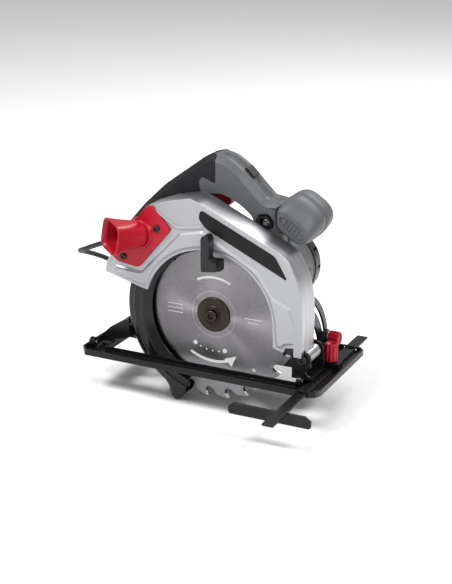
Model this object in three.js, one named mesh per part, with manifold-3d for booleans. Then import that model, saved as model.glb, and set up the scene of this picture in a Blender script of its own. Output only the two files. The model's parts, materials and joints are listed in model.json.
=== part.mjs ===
// Hand-held circular saw, 185 mm blade, millimetres, +Z up.
// +X is the cutting direction, +Y points from the blade to the motor.
// Every piece is drawn about the middle of the blade, and the whole saw is then
// lifted so that the sole of the shoe lies at z = 0, with the origin on the sole
// below the spindle, between the blade and the motor.
import * as THREE from 'three';
import { mergeVertices } from 'three/addons/utils/BufferGeometryUtils.js';
import Module from 'manifold-3d';

const wasm = await Module();
wasm.setup();

// Driving dimensions
const BLADE_R = 92.5;
const TEETH = 24;
const SOLE = -58; // sole plane below the blade axis
const ORIGIN_Y = 45; // origin this far to the motor side of the blade
const CASE_Y0 = -15.5; // near face of the upper guard
const CASE_Y1 = 17; // far face of the upper guard
const OPENING_R = 73; // round opening in the near wall
const COVER_R = 97.5; // outer radius of the lower guard
const COVER_END = 72; // angle where the lower guard ends, inside the upper one
const MOTOR_X = 22.3;
const MOTOR_Z = 20.7;
const PIVOT_X = 102.5; // depth hinge at the front, axis along Y
const PIVOT_Z = -30;
const TILT_Y = -13; // bevel hinge, axis along X
const TILT_Z = -50;
const SLOT_R = 77; // bevel slot radius
const SLOT_START = 16; // bevel bolt angle with the shoe square
const ARC_R = 205; // depth slot radius about the front hinge
const GRIP_Y = 45; // parting plane of the handle
const FLOOR = -101.5; // the ground that the lead lies on
const CORD_R = 2.8;
const COIL_X = -104;
const COIL_Y = 177;
const PLUG_Y = 210;

const saw = new THREE.Group();

const look = (color, roughness, metalness) =>
  new THREE.MeshStandardMaterial({ color, roughness, metalness });
const CAST = look(0xbabcc4, 0.42, 0.6);
const STEEL = look(0x8f8d90, 0.3, 0.9);
const BLACK_STEEL = look(0x2a292c, 0.45, 0.4);
const BLACK = look(0x333236, 0.6, 0);
const GREY = look(0x636567, 0.55, 0);
const RED = look(0xbe1e2d, 0.4, 0);
const RUBBER = look(0x2f2e32, 0.8, 0);
const COPPER = look(0xb06a3a, 0.35, 0.9);

function add(name, geometry, material) {
  const mesh = new THREE.Mesh(geometry, material);
  mesh.name = name;
  saw.add(mesh);
}

// Points on a circle about (cx, cy), angles in degrees
function arc(r, from, to, steps, cx = 0, cy = 0) {
  const points = [];
  for (let i = 0; i <= steps; i += 1) {
    const a = THREE.MathUtils.degToRad(from + ((to - from) * i) / steps);
    points.push([cx + r * Math.cos(a), cy + r * Math.sin(a)]);
  }
  return points;
}

const circle = (r, sides, cx = 0, cy = 0) => arc(r, 0, 360 - 360 / sides, sides - 1, cx, cy);

const polar = (pairs) => pairs.map(([r, deg]) => arc(r, deg, deg, 1)[0]);

function extrude(points, depth, holes = []) {
  const [outer, ...inner] = [points, ...holes].map((ring) => ring.map(([a, b]) => new THREE.Vector2(a, b)));
  if (THREE.ShapeUtils.isClockWise(outer)) outer.reverse();
  const shape = new THREE.Shape(outer);
  shape.holes = inner.map((ring) => new THREE.Path(ring));
  return new THREE.ExtrudeGeometry(shape, { depth, bevelEnabled: false });
}

// Plates: an (x, z) outline from y0 to y1, a (y, z) outline from x0 to x1,
// and an (x, y) outline from z0 to z1
const plateXZ = (points, y0, y1, holes) =>
  extrude(points, y1 - y0, holes).rotateX(Math.PI / 2).translate(0, y1, 0);

function plateYZ(points, x0, x1, holes) {
  const turn = new THREE.Matrix4().makeBasis(
    new THREE.Vector3(0, 1, 0),
    new THREE.Vector3(0, 0, 1),
    new THREE.Vector3(1, 0, 0),
  );
  return extrude(points, x1 - x0, holes).applyMatrix4(turn).translate(x0, 0, 0);
}

const plateXY = (points, z0, z1, holes) => extrude(points, z1 - z0, holes).translate(0, 0, z0);

const box = (x0, x1, y0, y1, z0, z1) =>
  new THREE.BoxGeometry(x1 - x0, y1 - y0, z1 - z0)
    .translate((x0 + x1) / 2, (y0 + y1) / 2, (z0 + z1) / 2);

const rodY = (r, y0, y1, x, z, sides = 20) =>
  new THREE.CylinderGeometry(r, r, y1 - y0, sides).translate(x, (y0 + y1) / 2, z);

const rodX = (r, x0, x1, y, z, sides = 16) =>
  new THREE.CylinderGeometry(r, r, x1 - x0, sides).rotateZ(-Math.PI / 2)
    .translate((x0 + x1) / 2, y, z);

const rodZ = (r, z0, z1, x, y, sides = 16) =>
  new THREE.CylinderGeometry(r, r, z1 - z0, sides).rotateX(Math.PI / 2)
    .translate(x, y, (z0 + z1) / 2);

// A closed (radius, y) profile turned about a Y axis through (x, z)
function turned(profile, x, z, sides = 32) {
  const points = [...profile, profile[0]].map(([r, y]) => new THREE.Vector2(r, y));
  return new THREE.LatheGeometry(points, sides).translate(x, 0, z);
}

// A cone or rod from one point to another
function taper(from, to, r0, r1, sides = 20) {
  const a = new THREE.Vector3(...from);
  const b = new THREE.Vector3(...to);
  const along = b.clone().sub(a);
  const turn = new THREE.Quaternion()
    .setFromUnitVectors(new THREE.Vector3(0, 1, 0), along.clone().normalize());
  return new THREE.CylinderGeometry(r1, r0, along.length(), sides)
    .applyQuaternion(turn)
    .translate((a.x + b.x) / 2, (a.y + b.y) / 2, (a.z + b.z) / 2);
}

// Rings of equal point counts joined into one closed skin
function loft(rings) {
  const count = rings[0].length;
  const positions = rings.flat(2);
  const index = [];
  for (let k = 0; k + 1 < rings.length; k += 1) {
    for (let i = 0; i < count; i += 1) {
      const a = k * count + i;
      const b = k * count + ((i + 1) % count);
      index.push(a, b, a + count, b, b + count, a + count);
    }
  }
  const last = (rings.length - 1) * count;
  for (let i = 1; i + 1 < count; i += 1) {
    index.push(0, i + 1, i);
    index.push(last, last + i, last + i + 1);
  }
  const geometry = new THREE.BufferGeometry();
  geometry.setAttribute('position', new THREE.Float32BufferAttribute(positions, 3));
  geometry.setIndex(index);
  return geometry;
}

function toSolid(geometry) {
  const bare = geometry.clone();
  bare.deleteAttribute('normal');
  bare.deleteAttribute('uv');
  const merged = mergeVertices(bare, 1e-3);
  return new wasm.Manifold(new wasm.Mesh({
    numProp: 3,
    vertProperties: new Float32Array(merged.attributes.position.array),
    triVerts: new Uint32Array(merged.index.array),
  }));
}

function toGeometry(solid) {
  const mesh = solid.getMesh();
  const geometry = new THREE.BufferGeometry();
  geometry.setAttribute('position', new THREE.BufferAttribute(mesh.vertProperties, 3));
  geometry.setIndex(new THREE.BufferAttribute(mesh.triVerts, 1));
  geometry.computeVertexNormals();
  return geometry;
}

const join = (...parts) => toGeometry(parts.map(toSolid).reduce((a, b) => a.add(b)));
const cut = (body, ...tools) =>
  toGeometry(tools.map(toSolid).reduce((a, b) => a.subtract(b), toSolid(body)));

// ---------------------------------------------------------------- blade and spindle
// Each tooth leans forward into a round gullet; four slits let the rim expand.
const toothOutline = [];
for (let i = 0; i < TEETH; i += 1) {
  const tip = -95.7 + (360 / TEETH) * i;
  toothOutline.push(...polar([
    [BLADE_R, tip], [86, tip - 0.8], [82.4, tip + 0.9], [81.8, tip + 3.2],
    [84.2, tip + 5.4], [88.4, tip + 6.9], [90, tip + 8.6],
  ]));
}
const slits = [0, 1, 2, 3].flatMap((k) => {
  const turn = -50 + 90 * k;
  const [hole, rim] = polar([[71, turn], [85, turn + 2]]);
  return [
    rodY(2.4, -2, 2, hole[0], hole[1], 10),
    taper([hole[0], 0, hole[1]], [rim[0], 0, rim[1]], 0.7, 0.7, 4).scale(1, 4, 1),
  ];
});
add('saw_blade', cut(plateXZ(toothOutline, -0.9, 0.9), rodY(10, -2, 2, 0, 0, 24), ...slits), STEEL);

add('inner_flange', turned([
  [6.3, -0.5], [9.7, -0.5], [9.7, 1.2], [18.5, 1.2], [18.5, 4.2], [11, 4.2], [11, 8], [6.3, 8],
], 0, 0, 28), BLACK_STEEL);
add('outer_flange', turned([
  [4.4, -4.2], [9.5, -4.2], [10.2, -3.4], [16.4, -3.4], [18.5, -2.5], [18.5, -1.2], [4.4, -1.2],
], 0, 0, 32), BLACK_STEEL);
add('spindle', cut(
  join(rodY(6, -0.8, 36, 0, 0), rodY(7.5, 17.5, 20.2, 0, 0)),
  rodY(4.3, -2, 12, 0, 0),
), STEEL);
add('blade_bolt', cut(
  join(rodY(8.5, -5.8, -4.5, 0, 0, 24), rodY(6.8, -10.5, -5.6, 0, 0, 6), rodY(4, -5, 11.5, 0, 0, 16)),
  rodY(3.4, -12, -6.8, 0, 0, 6),
), BLACK_STEEL);

// Reduction gear: a gear of 48 teeth on the spindle, driven by a 10 tooth pinion
function gearOutline(teeth, tip, root, phase) {
  const points = [];
  for (let i = 0; i < teeth; i += 1) {
    const mid = phase + (360 / teeth) * i;
    const half = 360 / teeth / 2;
    points.push(...polar([
      [root, mid - half * 0.62], [tip, mid - half * 0.3], [tip, mid + half * 0.3], [root, mid + half * 0.62],
    ]));
  }
  return points;
}
add('driven_gear', plateXZ(gearOutline(48, 24.9, 23, 0), 20.5, 26.8, [circle(6.3, 20)]), STEEL);

// ---------------------------------------------------------------- upper guard
// One casting: near wall with a round opening, outer rim, far wall with the bearing
// boss, and the hinge barrel at the front foot.
const guardTop = [
  [-118, 46], [-70, 110.5], [-48, 119], [-19, 125], [-7, 120.5],
  [77, 82], [89, 74], [99, 55], [104, 34], [105, 8], [104, -25],
];
const guardHollow = [
  [-124, 30], [-115, 28], [-114.2, 45], [-67.8, 107], [-47, 115.6], [-19.4, 121.4], [-8.4, 117],
  [75, 78.8], [86.6, 71.2], [95.8, 54], [100.6, 34], [101.6, 8], [100.6, -60], [-124, -60],
];
const nearOpening = [
  [-126, 35.4], [-71.2, 21], ...arc(OPENING_R, 163, 5, 20), [73.5, -19], [84.5, -22.5], [87, -17],
  [96, -15.5], [96, -60], [-126, -60],
];
const farOutline = [
  [-120, 34], ...guardTop, [92, -25], [60, -22], ...arc(31, -40, -160, 8), [-60, 0],
];
const PORT_BASE = [-77.1, -15.8, 81.4];
const PORT_MOUTH = [-95.2, -46, 83.2];
const portAlong = (s) => PORT_BASE.map((v, i) => v + (PORT_MOUTH[i] - v) * s);
add('upper_guard', cut(
  join(
    cut(
      plateXZ(farOutline, CASE_Y0, CASE_Y1),
      plateXZ(guardHollow, -12.5, 14),
      plateXZ(nearOpening, -20, -12),
    ),
    rodY(22, 9, 14.5, 0, 0, 28),
    rodY(7, -3, 24, PIVOT_X, PIVOT_Z, 20),
    box(99, 105, -3, 17, -31, -22),
  ),
  rodY(16, 8, 20, 0, 0, 28),
  rodY(3.3, -5, 26, PIVOT_X, PIVOT_Z, 14),
  taper(portAlong(-0.3), portAlong(0.3), 12.5, 12.5, 16),
  rodY(3.2, 10, 20, -96.3, 20, 12),
  box(80, 112, -7.9, -3.7, -60, -19.6),
), CAST);
add('spindle_bearing', turned([[6.3, 9.6], [15.7, 9.6], [15.7, 16.8], [6.3, 16.8]], 0, 0, 24), STEEL);

add('label_panel', plateXZ(
  [[-7, 115], [74.5, 77.5], [88.5, 54], [-2, 96.5], [-9.5, 106]], -16.4, -15.8,
), BLACK);

// ---------------------------------------------------------------- dust outlet
const portFlange = plateXZ(
  [[-68, 112], [-62, 113.5], [-40, 90], [-77, 46], [-82, 45], [-103, 48], [-112, 55]],
  -18.3, -15.8,
);
add('dust_port', cut(
  join(portFlange, taper(portAlong(-0.1), PORT_MOUTH, 14.2, 18.4, 24)),
  box(-130, -30, -15.8, 0, 30, 130),
  taper(portAlong(-0.3), portAlong(1.1), 11.6, 17, 24),
), RED);
add('dust_port_screw_upper', rodY(3.6, -20.4, -18.6, -56, 89.5, 12), BLACK_STEEL);
add('dust_port_screw_lower', rodY(3.6, -20.4, -18.6, -96, 54.5, 12), BLACK_STEEL);

// ---------------------------------------------------------------- gear case and motor
const caseOutline = (wall) => [
  ...arc(30 - wall, 133, 313, 12),
  ...arc(41 - wall, -47, 133, 16, MOTOR_X, MOTOR_Z),
];
const lockHole = rodX(5.4, 50, 70, 38, 12, 16);
add('gear_case', cut(
  join(
    plateXZ(caseOutline(0), 17.3, 29.6),
    rodY(41, 29, 46.8, MOTOR_X, MOTOR_Z, 36),
  ),
  plateXZ(caseOutline(3.5), 20, 27.4),
  rodY(37.5, 24, 50, MOTOR_X, MOTOR_Z, 32),
  rodY(8.5, 15, 22, 0, 0, 20),
  rodY(7, 20, 50, 0, 0, 20),
  lockHole,
), CAST);
add('motor_housing', turned([
  [11, 47.1], [41, 47.1], [41, 66], [39.5, 100], [38.6, 123.7], [35.9, 123.7], [36.4, 50.5], [11, 50.5],
], MOTOR_X, MOTOR_Z, 40), GREY);

// Vented cap over the end of the motor, with the rear bearing seat inside
const capVents = [];
for (let i = 0; i < 12; i += 1) {
  const slot = box(30, 45, 130, 141, -1.5, 1.5).rotateY(THREE.MathUtils.degToRad(30 * i));
  capVents.push(slot.translate(MOTOR_X, 0, MOTOR_Z));
}
add('motor_end_cap', cut(
  turned([
    [9.4, 126], [12.4, 126], [12.4, 143], [34, 143], [36.6, 139], [37.2, 124], [39.6, 124],
    [39.2, 138], [36.5, 144.5], [31, 147], [9.4, 147],
  ], MOTOR_X, MOTOR_Z, 36),
  ...capVents,
), BLACK);

add('field_core', turned([[22, 64.3], [35, 64.3], [35, 100], [22, 100]], MOTOR_X, MOTOR_Z, 32), STEEL);
add('field_coil_front', turned([[23.5, 59], [33, 59], [34, 64], [22.5, 64]], MOTOR_X, MOTOR_Z, 24), COPPER);
add('field_coil_rear', turned([[22.5, 100.3], [34, 100.3], [33, 105.5], [23.5, 105.5]],
  MOTOR_X, MOTOR_Z, 24), COPPER);
const pinion = plateXZ(gearOutline(10, 5.2, 4, 18), 20.6, 26.7).translate(MOTOR_X, 0, MOTOR_Z);
add('armature_shaft', join(pinion, rodY(4, 26, 137, MOTOR_X, MOTOR_Z, 16)), STEEL);
add('armature_front_bearing',
  turned([[4.3, 43], [10.6, 43], [10.6, 50.2], [4.3, 50.2]], MOTOR_X, MOTOR_Z, 20), STEEL);
add('armature_rear_bearing',
  turned([[4.3, 127], [9.1, 127], [9.1, 135], [4.3, 135]], MOTOR_X, MOTOR_Z, 20), STEEL);
add('armature_core', turned([
  [4.3, 60.5], [15, 60.5], [17, 64.5], [21.2, 64.5], [21.2, 100], [17, 100], [15, 106], [4.3, 106],
], MOTOR_X, MOTOR_Z, 28), COPPER);
add('commutator', turned([[4.3, 107], [11, 107], [11, 119], [4.3, 119]], MOTOR_X, MOTOR_Z, 24), COPPER);

const fanBlades = [];
for (let i = 0; i < 9; i += 1) {
  const blade = box(10, 32.5, 52.4, 57.8, -0.8, 0.8).rotateY(THREE.MathUtils.degToRad(40 * i));
  fanBlades.push(blade.translate(MOTOR_X, 0, MOTOR_Z));
}
add('cooling_fan', join(
  turned([[4.3, 51.4], [33, 51.4], [33, 52.8], [12, 52.8], [11, 58], [4.3, 58]], MOTOR_X, MOTOR_Z, 24),
  ...fanBlades,
), BLACK);

// Carbon brushes in square holders above and below the commutator
for (const [side, up] of [['upper', 1], ['lower', -1]]) {
  const place = (r0, r1, w, t) => {
    const z0 = MOTOR_Z + (up > 0 ? r0 : -r1);
    return box(MOTOR_X - w, MOTOR_X + w, 113 - t, 113 + t, z0, z0 + r1 - r0);
  };
  add(`brush_${side}`, place(11.4, 26, 3, 2.6), BLACK);
  add(`brush_holder_${side}`, cut(place(14, 33.5, 5, 4.6), place(13, 31, 3.3, 2.9)), COPPER);
}

add('spindle_lock_button', rodX(5, 56, 68, 38, 12, 16), RED);

// ---------------------------------------------------------------- handle
// Closed loop handle in two shells that meet at GRIP_Y and sit on the motor.
const handleOutline = [
  [-118, 41], [-128, 49], [-131, 60], [-99, 97], [-73, 122], [-24, 158], [-12, 161], [2, 157],
  [17, 147], [44, 120], [61.8, 118], [61.8, 70], ...arc(41.6, 36, 168, 12, MOTOR_X, MOTOR_Z), [-60, 33],
];
const fingerGap = [
  [-92, 60], [-84, 71], [-36, 108], [-20, 116.5], [-7, 118.5], [3, 115.5], [12, 111.5], [21, 105.5],
  [29, 98.5], [27, 78], [14, 66], [-20, 58],
];
const switchRoom = [[-62, 112], [-25, 148], [-12, 152], [0, 148], [8, 136], [2, 122], [-34, 120]];
const triggerRoom = (y0, y1) => plateXZ([[-33, 104], [-33, 126], [3, 126], [3, 104]], y0, y1);
const buttonRoom = box(-7, 7, 37.6, 52.4, -13, 9).rotateY(Math.PI / 4).translate(21, 0, 143);
const leadHole = taper([-112, GRIP_Y, 62.4], [-150, GRIP_Y, 46.3], 6.8, 6.8, 16);
function handleShell(y0, y1, room0, room1) {
  return cut(
    plateXZ(handleOutline, y0, y1, [fingerGap]),
    plateXZ(switchRoom, room0, room1),
    triggerRoom(37.8, 52.2),
    buttonRoom,
    leadHole,
    rodY(2.2, 20, 70, 44, 96, 10),
  );
}
const padOutline = [
  [-120, 70.5], [-99, 94.8], [-73, 119.5], [-28, 152.5], [-33, 136], [-39, 128], [-40, 112],
  [-82, 80], [-92, 70], [-104, 63],
];
add('handle_right', cut(handleShell(26, 44.85, 30, 60), plateXZ(padOutline, 20, 27.8)), GREY);
add('handle_left', cut(handleShell(45.15, 64, 30, 60), plateXZ(padOutline, 62.2, 70)), GREY);
const padSkin = [
  [-118.8, 70.6], [-98.6, 94.2], [-73, 118.5], [-29.6, 150.4], [-34, 136.6], [-40, 128], [-41, 112.6],
  [-82, 81], [-92, 71], [-104, 64.2],
];
add('grip_pad_right', plateXZ(padSkin, 24.6, 27.5), RUBBER);
add('grip_pad_left', plateXZ(padSkin, 62.5, 65.4), RUBBER);
add('handle_screw', join(rodY(2, 25, 60, 44, 96, 10), rodY(4.2, 23.2, 25.7, 44, 96, 14)), STEEL);
add('switch_module', box(-27, 2, 36, 54, 126.5, 141), BLACK);
add('trigger', plateXZ([
  [-30, 110], [-28, 102], [-19, 99.5], [-7, 102.5], [0.2, 108.5], [1, 121], [-29, 121],
], 38.4, 51.6), RED);
add('lock_off_button', box(-6.5, 6.5, 38, 52, -8, 3.6).rotateY(Math.PI / 4).translate(20.2, 0, 142.2), BLACK);

// Front handle: a blunt pod lying across the saw, cut flat where it meets the shells
const podRing = (y, cx, cz, a, b) => {
  const tilt = THREE.MathUtils.degToRad(-38);
  return circle(1, 20).map(([c, s]) => {
    const u = a * Math.sign(c) * Math.abs(c) ** 0.7;
    const v = b * Math.sign(s) * Math.abs(s) ** 0.7;
    return [cx + u * Math.cos(tilt) - v * Math.sin(tilt), y, cz + u * Math.sin(tilt) + v * Math.cos(tilt)];
  });
};
const pod = loft([
  podRing(73, 78, 103, 17, 15), podRing(70, 79, 103.5, 23, 20.5), podRing(62, 79.5, 103.5, 25.5, 22.5),
  podRing(38, 79.5, 103, 25.5, 22.5), podRing(27, 77.5, 100.5, 24.5, 19.5),
  podRing(20, 75.5, 98, 22, 14.5), podRing(17, 74.5, 97, 18.5, 10),
]);
add('front_handle', cut(pod, box(20, 62.1, 10, 80, 60, 140)), GREY);

// ---------------------------------------------------------------- lower guard
// A U-shaped cover that turns about the spindle boss, with a flared toe at its
// leading end and a thumb lever near the other end.
const coverEdge = [
  ...arc(COVER_R, COVER_END, 234, 28),
  ...polar([[98.5, 238], [101, 240.5], [105.5, 242.6], [109.2, 244.6], [110.4, 247], [107, 249.5], [99, 251.3]]),
];
const coverNear = [...coverEdge, ...polar([[88, 252.4], [73, 249]]), ...arc(67, 248, COVER_END, 28)];
const coverRim = [
  ...coverEdge,
  ...polar([[96.5, 250], [104, 248.2], [107, 246.4], [106, 244.8], [102.5, 242.8], [98, 240.2], [96.3, 237.6]]),
  ...arc(COVER_R - 2, 234, COVER_END, 28),
];
const coverFar = [...coverEdge, ...polar([[88, 252.4], [60, 252]]), ...arc(30, 250, COVER_END, 20)];
add('lower_guard', cut(
  join(
    plateXZ(coverNear, -12, -10.4),
    plateXZ([[7, 51], [7, 68], [18, 68], [18, 54]], -12, -10.4),
    plateXZ(coverRim, -12, 11.5),
    plateXZ(coverFar, 9.9, 11.5),
    rodY(34, 9.9, 11.5, 0, 0, 32),
  ),
  rodY(22.5, 5, 13, 0, 0, 28),
), BLACK);
add('guard_lever', join(
  plateXZ([[7.5, 52.5], [7.5, 66.5], [17.5, 66.5], [17.5, 55]], -19.5, -12.3),
  plateXZ([[0, 55], [0, 90], [3, 93.5], [8, 93.5], [10, 88], [9, 70], [17.5, 66.5], [17.5, 57]], -31, -19.2),
), BLACK);

const springPath = new THREE.CatmullRomCurve3(
  arc(25.4, 0, 400, 20).map(([x, z], i) => new THREE.Vector3(x, 12.3 + i * 0.05, z)),
);
const wire = (r, sides) => new THREE.Shape(circle(r, sides).map(([a, b]) => new THREE.Vector2(a, b)));
add('guard_spring', new THREE.ExtrudeGeometry(wire(0.42, 6), {
  steps: 36, extrudePath: springPath, bevelEnabled: false,
}), STEEL);

// ---------------------------------------------------------------- front and rear hinges
const near = (y0, y1) => plateXZ([
  [91, -51], [91, -26], [94, -22.5], ...arc(9, 110, -20, 8, PIVOT_X, PIVOT_Z), [112.5, -44], [112.5, -51],
], y0, y1);
const tiltEar = (x0, x1) => plateYZ(circle(5.4, 18, TILT_Y, TILT_Z), x0, x1);
const BOLT_Y = TILT_Y + SLOT_R * Math.cos(THREE.MathUtils.degToRad(SLOT_START));
const BOLT_Z = TILT_Z + SLOT_R * Math.sin(THREE.MathUtils.degToRad(SLOT_START));
add('front_pivot_bracket', cut(
  join(
    near(-7, -4.6),
    near(26.5, 29),
    box(91, 112.5, -7, 29, -51, -48.5),
    tiltEar(100.4, 102.6),
    plateYZ([[-13, -52.5], [-13, -46], [-5, -46], [-5, -51]], 100.4, 102.6),
    plateYZ([[28, -51], [28, -36], [52, -22], ...arc(8, 120, -60, 8, BOLT_Y, BOLT_Z), [62, -51]], 99.3, 101.8),
  ),
  rodY(3.3, -12, 35, PIVOT_X, PIVOT_Z, 14),
  rodX(2.4, 99, 104, TILT_Y, TILT_Z, 12),
  rodX(3, 95, 105, BOLT_Y, BOLT_Z, 12),
), BLACK_STEEL);
add('front_pivot_pin', join(
  rodY(3, -9, 31, PIVOT_X, PIVOT_Z, 14),
  rodY(5, -9.6, -7.4, PIVOT_X, PIVOT_Z, 14),
), STEEL);

add('rear_tilt_bracket', cut(
  join(
    plateXZ([
      [-138.5, -54], [-133, -42], [-128, -37], [-114, -28], [-105, -23.5], [-104, -45], [-112, -47.5], [-124.4, -50.8], [-126, -54],
    ], 4, 6.5),
    plateYZ([[-13, -52.5], [-13, -46], [6.5, -46], [6.5, -54]], -138.5, -136),
    tiltEar(-138.5, -136),
  ),
  rodX(2.4, -145, -130, TILT_Y, TILT_Z, 12),
), BLACK_STEEL);
const onArc = (r, from, to, steps) => arc(r, from, to, steps, PIVOT_X, PIVOT_Z);
add('depth_arc_plate', join(
  plateXZ(
    [...onArc(ARC_R + 8, 151, 184.5, 14), ...onArc(ARC_R - 7, 184.5, 151, 14)], 19.6, 22,
    [[...onArc(ARC_R + 3.2, 153.8, 181, 12), ...onArc(ARC_R - 3.2, 181, 153.8, 12)]],
  ),
  plateXZ([[-128, -47], [-124, -37], [-108, -32], [-104.5, -33], [-104.5, -44], [-112, -47]], 6.8, 9.2),
  plateXZ([[-108, -47], [-108, -33], [-104.5, -33], [-104.5, -46]], 7, 22),
), BLACK_STEEL);
add('depth_lock_lever', join(
  rodY(2.8, 15, 25, -96.3, 20, 12),
  rodY(7.5, 22.4, 31, -96.3, 20, 16),
  plateXZ([[-98, 13.5], [-94, 27], [-60, 15], [-58, 8], [-64, 5.5]], 24.5, 30),
), BLACK);

// ---------------------------------------------------------------- shoe
// Pressed steel: a flat sole with turned-up edges round the outside and the slot.
const SHEET = 2;
const RIM_TOP = -51.5;
const shoeOutline = (d) => [
  [-146 + d, -24 + d * 0.4], [-138 + d * 0.4, -33.5 + d], [118 - d * 0.4, -33.5 + d], [126 - d * 0.8, -30 + d * 0.8],
  [129.5 - d, -22 + d * 0.4], [129.5 - d, 96 - d * 0.4], [124 - d * 0.4, 102 - d], [-138 + d * 0.4, 102 - d],
  [-146 + d, 94 - d * 0.4],
];
const slotOutline = (d) => [[-121 - d, -15 - d], [98 + d, -15 - d], [98 + d, 32 + d], [-121 - d, 32 + d]];
const rim = (outer, inner) => plateXY(outer, SOLE, RIM_TOP, [inner]);
add('shoe_plate', cut(
  join(
    plateXY(shoeOutline(0), SOLE, SOLE + SHEET, [slotOutline(0)]),
    rim(shoeOutline(0), shoeOutline(2)),
    rim(slotOutline(2), slotOutline(0)),
    plateYZ([[-18.4, -57], [-18.4, -50], ...arc(5.4, 180, 0, 8, TILT_Y, TILT_Z), [-7.6, -57]], 103, 105.3),
    plateYZ([[-18.4, -57], [-18.4, -50], ...arc(5.4, 180, 0, 8, TILT_Y, TILT_Z), [-7.6, -57]], -142, -139.5),
  ),
  box(105.8, 120.2, -36, 106, SOLE + SHEET, -52.9),
  rodX(2.4, 102, 107, TILT_Y, TILT_Z, 12),
  rodX(2.4, -144, -138, TILT_Y, TILT_Z, 12),
), BLACK_STEEL);
add('front_tilt_pin', rodX(2.1, 100.3, 105.6, TILT_Y, TILT_Z, 12), STEEL);
add('rear_tilt_pin', rodX(2.1, -143.6, -134.5, TILT_Y, TILT_Z, 12), STEEL);

const onTilt = (r, from, to, steps) => arc(r, from, to, steps, TILT_Y, TILT_Z);
add('bevel_quadrant', cut(
  plateYZ([...onTilt(SLOT_R + 10, -3.5, 68, 14), ...onTilt(SLOT_R - 14, 68, -5, 14)], 96, 98.4,
    [[...onTilt(SLOT_R + 3.2, 12.5, 64, 12), ...onTilt(SLOT_R - 3.2, 64, 12.5, 12)]]),
  box(90, 100, 0, 18.4, -60, 60),
  box(90, 100, 0, 100, -60, -55.7),
), BLACK_STEEL);
const knob = (r, lobes, length) => {
  const points = [];
  for (let i = 0; i < lobes; i += 1) {
    const step = 360 / lobes;
    points.push(...polar([[r, step * i], [r, step * (i + 0.55)], [r - 1, step * (i + 0.65)], [r - 1, step * (i + 0.9)]]));
  }
  return extrude(points, length);
};
add('bevel_knob', join(
  knob(7.5, 10, 12).applyMatrix4(new THREE.Matrix4().makeBasis(
    new THREE.Vector3(0, 1, 0), new THREE.Vector3(0, 0, 1), new THREE.Vector3(1, 0, 0),
  )).translate(104.2, BOLT_Y, BOLT_Z),
  rodX(2.6, 94, 105, BOLT_Y, BOLT_Z, 12),
  rodX(5.4, 92.6, 95.6, BOLT_Y, BOLT_Z, 6),
  rodX(6, 102.2, 105, BOLT_Y, BOLT_Z, 16),
), RED);

// ---------------------------------------------------------------- parallel guide
const BAR_X = 113;
const CLAMP_Y = 44;
add('guide_bar', box(BAR_X - 6, BAR_X + 6, -115, 138, -55.6, -53.3), BLACK_STEEL);
add('guide_fence', plateXZ([
  [56, -68.5], [54, -66.5], [54, -60.5], [56.5, -58.5], [60, -56], [136, -56], [139.5, -58.5], [142, -60.5],
  [142, -66.5], [140, -68.5],
], -78.5, -76), BLACK_STEEL);
add('guide_clamp', cut(
  box(102, 124, CLAMP_Y - 6, CLAMP_Y + 6, -55.7, -48.6),
  box(BAR_X - 6.6, BAR_X + 6.6, CLAMP_Y - 10, CLAMP_Y + 10, -56, -52.8),
  rodZ(3, -60, -40, BAR_X, CLAMP_Y, 12),
), BLACK_STEEL);
add('guide_knob', join(
  knob(7.5, 10, 19).translate(BAR_X, CLAMP_Y, -47.2),
  rodZ(2.6, -53, -46, BAR_X, CLAMP_Y, 12),
), RED);

// ---------------------------------------------------------------- mains lead
const reliefAlong = (s) => [-129.5 - 0.921 * s, GRIP_Y, 55 - 0.39 * s];
add('strain_relief', join(
  taper(reliefAlong(-12), reliefAlong(-6), 6.4, 6.4, 14),
  taper(reliefAlong(-8), reliefAlong(30), 5.6, 3.7, 14),
), RUBBER);
const leadRoute = [
  reliefAlong(30.3), [-172, 45, 37], [-185, 47, 31], [-196, 55.5, 25.4], [-202, 70, 19.5],
  [-200.5, 88, 12], [-193, 106, 2], [-184, 122, -10], [-175.5, 136, -26], [-167.5, 149, -48],
  [-161, 160, -71], [-155.5, 171, -88], [-150, 183, -96.4], [-144, 195, -98.4],
].map(([x, y, z]) => new THREE.Vector3(x, y, z));
add('cord', new THREE.ExtrudeGeometry(wire(CORD_R, 10), {
  steps: 32, extrudePath: new THREE.CatmullRomCurve3(leadRoute), bevelEnabled: false,
}), RUBBER);
add('cord_coil', turned([[22, 0], [40, 0], [40, 22], [22, 22]], 0, 0, 32)
  .rotateX(Math.PI / 2).translate(COIL_X, COIL_Y, FLOOR), RUBBER);
add('plug', join(
  rodX(9, -39, -3, PLUG_Y, FLOOR + 9, 16),
  taper([-45.6, PLUG_Y, FLOOR + 9], [-38, PLUG_Y, FLOOR + 9], 4, 8, 14),
  rodX(2.2, -4, 16, PLUG_Y - 6.5, FLOOR + 9, 10),
  rodX(2.2, -4, 16, PLUG_Y + 6.5, FLOOR + 9, 10),
), BLACK);

// The sole of the shoe comes to z = 0
saw.position.set(0, -ORIGIN_Y, -SOLE);
const model = new THREE.Group();
model.add(saw);

export default model;
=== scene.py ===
import json
import math
import bmesh
import bpy
import numpy as np
from mathutils import Matrix, Vector


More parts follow.
